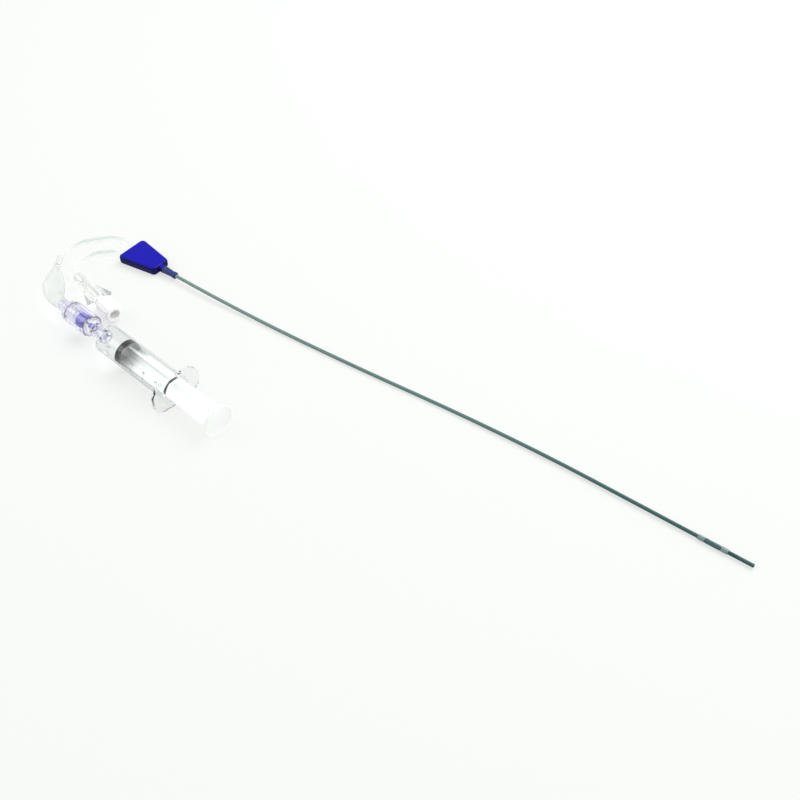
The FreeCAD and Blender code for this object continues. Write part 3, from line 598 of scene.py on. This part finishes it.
# %% [markdown]
# ## Pilot balloon
# The pilot balloon is blown film, so it isn't a smooth egg: it bellies between its necks, and fine
# creases run out of both necks and fade towards the middle. It rides with the catheter. Blender's
# cloth could blow it up, but the film holds its shape, and two waves round it draw the creases.

# %% Pilot balloon
PILOT_SPOTS = [BALLOON_LINE[-1], (-19.3, -41.0, 3.1), (-8.9, -48.2, 4.4), (3.0, -51.8, 8.0)]
PILOT_LINE_GRIP = 5.6
PILOT_TAIL_GRIP = 5.0
PILOT_WALL = 0.35
# Share of the way, half width and half height.
PILOT_STATIONS = [
    (0.0, 1.59, 1.59), (0.1, 1.98, 1.74), (0.24, 4.29, 2.52), (0.42, 5.5, 3.0), (0.6, 5.28, 3.0),
    (0.78, 4.07, 3.0), (1.0, 3.01, 3.01),
]
PILOT_STEPS = 16
PILOT_ROWS = 44
PILOT_AROUND = 72
# Shares of the way in from a neck: where its creases have faded, and where they begin.
CREASE_REACH, CREASE_START = 0.42, 0.08
# Depths as shares of the radius: everywhere, and what comes on top of it at the necks.
CREASE_DEPTH, NECK_DEPTH = 0.022, 0.13


def spline(spots, tangents, steps):
    """Points along cubic pieces between the spots, with given tangents at the spots."""
    found = []
    for i in range(len(spots) - 1):
        a, b, ta, tb = spots[i], spots[i + 1], tangents[i], tangents[i + 1]
        for k in range(steps):
            t = k / steps
            found.append(a * (2 * t**3 - 3 * t**2 + 1) + ta * (t**3 - 2 * t**2 + t)
                         + b * (3 * t**2 - 2 * t**3) + tb * (t**3 - t**2))
    return found + [spots[-1]]


def pilot_path():
    """The film's middle line from the end of the balloon line to the valve's tail."""
    spots = [Vector(spot) * MM for spot in PILOT_SPOTS]
    corner = Vector(BALLOON_LINE[-2]) * MM
    first = (spots[0] - corner).normalized() * (spots[1] - spots[0]).length
    last = Vector((1, 0, 0)) * (spots[-1] - spots[-2]).length
    inner = [(after - before) / 2 for before, after in zip(spots, spots[2:])]
    return spline(spots, [first, *inner, last], PILOT_STEPS), first.normalized()


def station(share):
    """Half width and half height of the film at a share of the way, smoothly between stations."""
    for before, after in zip(PILOT_STATIONS, PILOT_STATIONS[1:]):
        if share <= after[0]:
            t = (share - before[0]) / (after[0] - before[0])
            ease = t * t * (3 - 2 * t)
            return tuple(before[i] + (after[i] - before[i]) * (0.5 * t + 0.5 * ease) for i in (1, 2))
    return PILOT_STATIONS[-1][1:]


def crease(turn, share):
    """How far the film is drawn in at a turn, as a share of its radius: seven lines and eleven.

    Half turns in the waves give an odd number of lines, and the root makes them sharp.
    """
    near_neck = max(0.0, 1 - min(share, 1 - share) / CREASE_REACH)
    seven = abs(math.sin(3.5 * turn + 0.6)) ** 0.5
    eleven = abs(math.sin(5.5 * turn + 1.9 + 2.0 * share)) ** 0.5
    wave = seven + 0.6 * eleven
    strength = CREASE_DEPTH + NECK_DEPTH * near_neck
    fade = min(1.0, share / CREASE_START, (1 - share) / CREASE_START)
    return fade * strength * (1 - wave / 1.6)


def pilot_film():
    """The film as a hollow skin over even rows, with a straight grip on its line and its tail."""
    path, line_way = pilot_path()
    total = length_of(path)
    rows = [(path[0] - line_way * PILOT_LINE_GRIP * MM, 0.0)]
    gone, goal = 0.0, 0
    for a, b in zip(path, path[1:]):
        piece = (b - a).length
        while goal <= PILOT_ROWS and gone + piece >= total * goal / PILOT_ROWS - 1e-9:
            rows.append((a.lerp(b, (total * goal / PILOT_ROWS - gone) / piece), goal / PILOT_ROWS))
            goal += 1
        gone += piece
    rows.append((path[-1] + Vector((PILOT_TAIL_GRIP * MM, 0, 0)), 1.0))
    turns = turns_round(PILOT_AROUND)
    skins = ([], [])
    for i, (spot, share) in enumerate(rows):
        ahead = (rows[min(i + 1, len(rows) - 1)][0] - rows[max(i - 1, 0)][0]).normalized()
        side = Vector((0, 0, 1)).cross(ahead).normalized()
        wide, high = station(share)
        drawn = [1 - crease(turn, share) for turn in turns]
        for skin, less in zip(skins, (0.0, PILOT_WALL)):
            radii = [((wide * d - less) * MM, (high * d - less) * MM) for d in drawn]
            skin.append(ring_at((spot, side, ahead.cross(side)), radii))
    film = hollow_skin("pilot_film", *skins, FILM)
    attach(film, "catheter")
    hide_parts("pilot_balloon")
    return film


print("pilot film faces:", len(pilot_film().data.polygons))


# %% [markdown]
# ## Emptied balloon
# The balloon near the tip is empty and lies on the shaft in fine lengthwise pleats. Its ends run
# under the two bonds, where the film is smooth. The pleats could be a bump in the material, but as
# real ridges they also show in the outline, close up.

# %% Emptied balloon
SLEEVE_INNER = 0.865
SLEEVE_OUTER = 0.985
SLEEVE_BEHIND_TIP = (24.6, 11.2)
SLEEVE_STEPS = 40
SLEEVE_AROUND = 90
PLEATS = 9
PLEAT_HEIGHT = 0.11
# Shares of the way in from an end: up to where the film is smooth, and how soon its pleats are full.
SMOOTH_END, PLEAT_GROWTH = 0.2, 0.08
TIP = Vector((322.0, 44.2, 1.15)) * MM
TIP_WAY = Vector((94.0, 10.0, 0.0)).normalized()


def pleat_lift(turn, share):
    """How far the film stands off the shaft at a turn: narrow ridges that wander a little."""
    free = min(1.0, max(0.0, (min(share, 1 - share) - SMOOTH_END) / PLEAT_GROWTH))
    wander = 0.5 * math.sin(7 * share)
    return PLEAT_HEIGHT * free * abs(math.sin(PLEATS / 2 * turn + wander)) ** 3


def emptied_balloon():
    """The pleated sleeve between its two ends, as a hollow skin."""
    start, end = (TIP - TIP_WAY * behind * MM for behind in SLEEVE_BEHIND_TIP)
    side = Vector((0, 0, 1)).cross(TIP_WAY).normalized()
    up = TIP_WAY.cross(side)
    skins = ([], [])
    for step in range(SLEEVE_STEPS + 1):
        share = step / SLEEVE_STEPS
        here = (start.lerp(end, share), side, up)
        lift = [pleat_lift(turn, share) for turn in turns_round(SLEEVE_AROUND)]
        for skin, radius in zip(skins, (SLEEVE_OUTER, SLEEVE_INNER)):
            skin.append(ring_at(here, [((radius + more) * MM,) * 2 for more in lift]))
    film = hollow_skin("emptied_balloon", *skins, BALLOON)
    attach(film, "catheter")
    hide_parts("balloon_sleeve")
    return film


print("emptied balloon faces:", len(emptied_balloon().data.polygons))


# %% [markdown]
# ## The syringe's scale
# A 5 ml syringe has a printed scale: a short line every 0.2 ml, a long one every millilitre and a
# plain number beside it. The ink lies on the barrel, so every point of it is bent round the axis.
# A texture could carry it, but thin faces stay crisp close up and need no unwrapping.

# %% Scale on the barrel
SCALE_RADIUS = 7.02
SCALE_TURN = 204.0
NOZZLE_LENGTH = 9.2
FRONT_WALL = 1.2
BORE_RADIUS = 6.2
ML_LENGTH = 1000.0 / (math.pi * BORE_RADIUS**2)
FULL_ML = 5
TICKS_PER_ML = 5
TICK_STEPS = 6
TICK_WIDTH = 0.22
LONG_TICK = 5.4
SHORT_TICK = 2.8
NUMBER_HEIGHT = 3.0
NUMBER_GAP = 2.0

barrel_low, barrel_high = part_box("syringe_barrel")
AXIS_Y = (barrel_low.y + barrel_high.y) / 2
AXIS_Z = (barrel_low.z + barrel_high.z) / 2
SCALE_ZERO = barrel_low.x + NOZZLE_LENGTH * MM + FRONT_WALL * MM


def on_barrel(along, around):
    """A point on the barrel's skin, at a distance along it and a length round it, in mm."""
    turn = math.radians(SCALE_TURN) + around / SCALE_RADIUS
    radius = SCALE_RADIUS * MM
    y, z = AXIS_Y + math.cos(turn) * radius, AXIS_Z + math.sin(turn) * radius
    return Vector((SCALE_ZERO + along * MM, y, z))


def tick(points, faces, along, long):
    """A short strip of ink part of the way round the barrel."""
    first = len(points)
    for k in range(TICK_STEPS + 1):
        for edge in (-0.5, 0.5):
            points.append(on_barrel(along + edge * TICK_WIDTH, -long * k / TICK_STEPS))
    for k in range(TICK_STEPS):
        a = first + 2 * k
        faces.append((a, a + 1, a + 3, a + 2))


def number(points, faces, text, along, around):
    """A figure with its foot towards the flange, as on a syringe held nozzle up."""
    curve = bpy.data.curves.new("figure", "FONT")
    curve.body = text
    curve.size = NUMBER_HEIGHT
    curve.align_x = "CENTER"
    curve.align_y = "CENTER"
    figure = bpy.data.objects.new("figure", curve)
    bpy.context.scene.collection.objects.link(figure)
    bpy.context.view_layer.update()
    shown = figure.evaluated_get(bpy.context.evaluated_depsgraph_get())
    flat = bpy.data.meshes.new_from_object(shown)
    first = len(points)
    points += [on_barrel(along - spot.co.y, around - spot.co.x) for spot in flat.vertices]
    faces += [[first + i for i in face.vertices] for face in flat.polygons]
    bpy.data.objects.remove(figure)
    bpy.data.meshes.remove(flat)


def barrel_scale():
    """All the lines and numbers as one object, which rides with the syringe."""
    points, faces = [], []
    for count in range(FULL_ML * TICKS_PER_ML + 1):
        whole = count % TICKS_PER_ML == 0
        along = count / TICKS_PER_ML * ML_LENGTH
        tick(points, faces, along, LONG_TICK if whole else SHORT_TICK)
        if whole and count:
            number(points, faces, str(count // TICKS_PER_ML), along, -LONG_TICK - NUMBER_GAP)
    scale = mesh_object("barrel_scale", points, faces, INK, smooth=False)
    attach(scale, "syringe")
    return scale


print("scale faces:", len(barrel_scale().data.polygons))


# %% [markdown]
# ## Studio
# The table is pale and plain. What the camera, and clear or shiny plastic, sees of the table and
# the room is almost white, as in the photograph, while the lamps stay at a plain level. Farther out
# the table fades into the white room, so no edge of it shows from any side. Sizes and places in
# the studio are in metres.

# %% Floor and room
BACKDROP = (0.975, 0.990, 0.975, 1)
FLOOR_SIZE = 6
FLOOR_SPOT = (0.15, 0, -0.0002)
FADE_FROM, FADE_TO = 0.5, 1.6
OBJECT_MIDDLE = Vector((0.12, 0, 0))


def seen_directly(tree):
    """1 for rays that the camera, gloss or clear plastic looks along."""
    ray = add(tree, "ShaderNodeLightPath").outputs
    some = add(tree, "ShaderNodeMath", {0: ray["Is Camera Ray"], 1: ray["Is Glossy Ray"]},
               operation="MAXIMUM")
    every = add(tree, "ShaderNodeMath", {0: some.outputs[0], 1: ray["Is Transmission Ray"]},
                operation="MAXIMUM")
    return every.outputs[0]


def floor():
    """The table, which glows a little where it is looked at and keeps the object's shadow."""
    bpy.ops.mesh.primitive_plane_add(size=FLOOR_SIZE, location=FLOOR_SPOT)
    made = bpy.context.object
    made.name = "floor"
    finish = bpy.data.materials.new("floor")
    finish.use_nodes = True
    tree = finish.node_tree
    tree.nodes.clear()
    lit = add(tree, "ShaderNodeBsdfDiffuse", {"Color": (0.220, 0.225, 0.220, 1)})
    own = add(tree, "ShaderNodeEmission", {"Color": BACKDROP, "Strength": 0.645})
    shown = add(tree, "ShaderNodeAddShader", {0: lit.outputs[0], 1: own.outputs[0]})
    place = add(tree, "ShaderNodeTexCoord").outputs["Object"]
    away = add(tree, "ShaderNodeVectorMath", {0: place}, operation="LENGTH").outputs["Value"]
    wall = add(tree, "ShaderNodeEmission", {"Color": BACKDROP, "Strength": 1.0})
    faded = mix_shaders(tree, smooth_share(tree, away, FADE_FROM, FADE_TO), shown, wall)
    plain = add(tree, "ShaderNodeBsdfDiffuse", {"Color": (0.80, 0.80, 0.79, 1)})
    both = mix_shaders(tree, seen_directly(tree), plain, faded)
    add(tree, "ShaderNodeOutputMaterial", {"Surface": both.outputs[0]})
    made.data.materials.append(finish)


def room():
    """White to look at, and a plain level of light on the object."""
    world = bpy.data.worlds.new("room")
    bpy.context.scene.world = world
    world.use_nodes = True
    tree = world.node_tree
    tree.nodes.clear()
    light = add(tree, "ShaderNodeBackground", {"Color": (1, 1, 1, 1), "Strength": 0.80})
    seen = add(tree, "ShaderNodeBackground", {"Color": BACKDROP, "Strength": 1.0})
    both = mix_shaders(tree, seen_directly(tree), light, seen)
    add(tree, "ShaderNodeOutputWorld", {"Surface": both.outputs[0]})


def lamp(name, spot, power, across):
    """A round soft lamp that looks at the object."""
    data = bpy.data.lights.new(name, "AREA")
    data.shape = "DISK"
    data.size = across
    data.energy = power
    made = bpy.data.objects.new(name, data)
    bpy.context.scene.collection.objects.link(made)
    made.location = spot
    made.rotation_mode = "QUATERNION"
    made.rotation_quaternion = (OBJECT_MIDDLE - Vector(spot)).to_track_quat("-Z", "Y")


floor()
room()
lamp("key_lamp", (0.25, 0.75, 0.95), 13.0, 0.9)
lamp("fill_lamp", (-0.7, -0.6, 0.9), 4.4, 0.9)


# %% [markdown]
# ## Camera
# The photograph looks down at 46 degrees across the catheter, through a lens of about 56 mm.

# %% Camera
CAMERA_SPOT = (0.4212, -0.2664, 0.4003)
CAMERA_WAY = (-0.474, 0.508, -0.719)
BOUNCES = 32

view = bpy.data.cameras.new("camera")
view.sensor_width = 36
view.lens = 56.25
view.clip_start = 0.01
view.clip_end = 20
camera = bpy.data.objects.new("camera", view)
bpy.context.scene.collection.objects.link(camera)
camera.location = CAMERA_SPOT
camera.rotation_mode = "QUATERNION"
camera.rotation_quaternion = Vector(CAMERA_WAY).to_track_quat("-Z", "Y")
bpy.context.scene.camera = camera
bpy.context.scene.view_settings.view_transform = "Standard"
# A look through the syringe crosses many clear walls, so light may bounce often.
bpy.context.scene.cycles.max_bounces = BOUNCES
bpy.context.scene.cycles.transmission_bounces = BOUNCES
bpy.context.scene.cycles.glossy_bounces = BOUNCES
print(f"camera {camera.location.length:.2f} m from the hub")
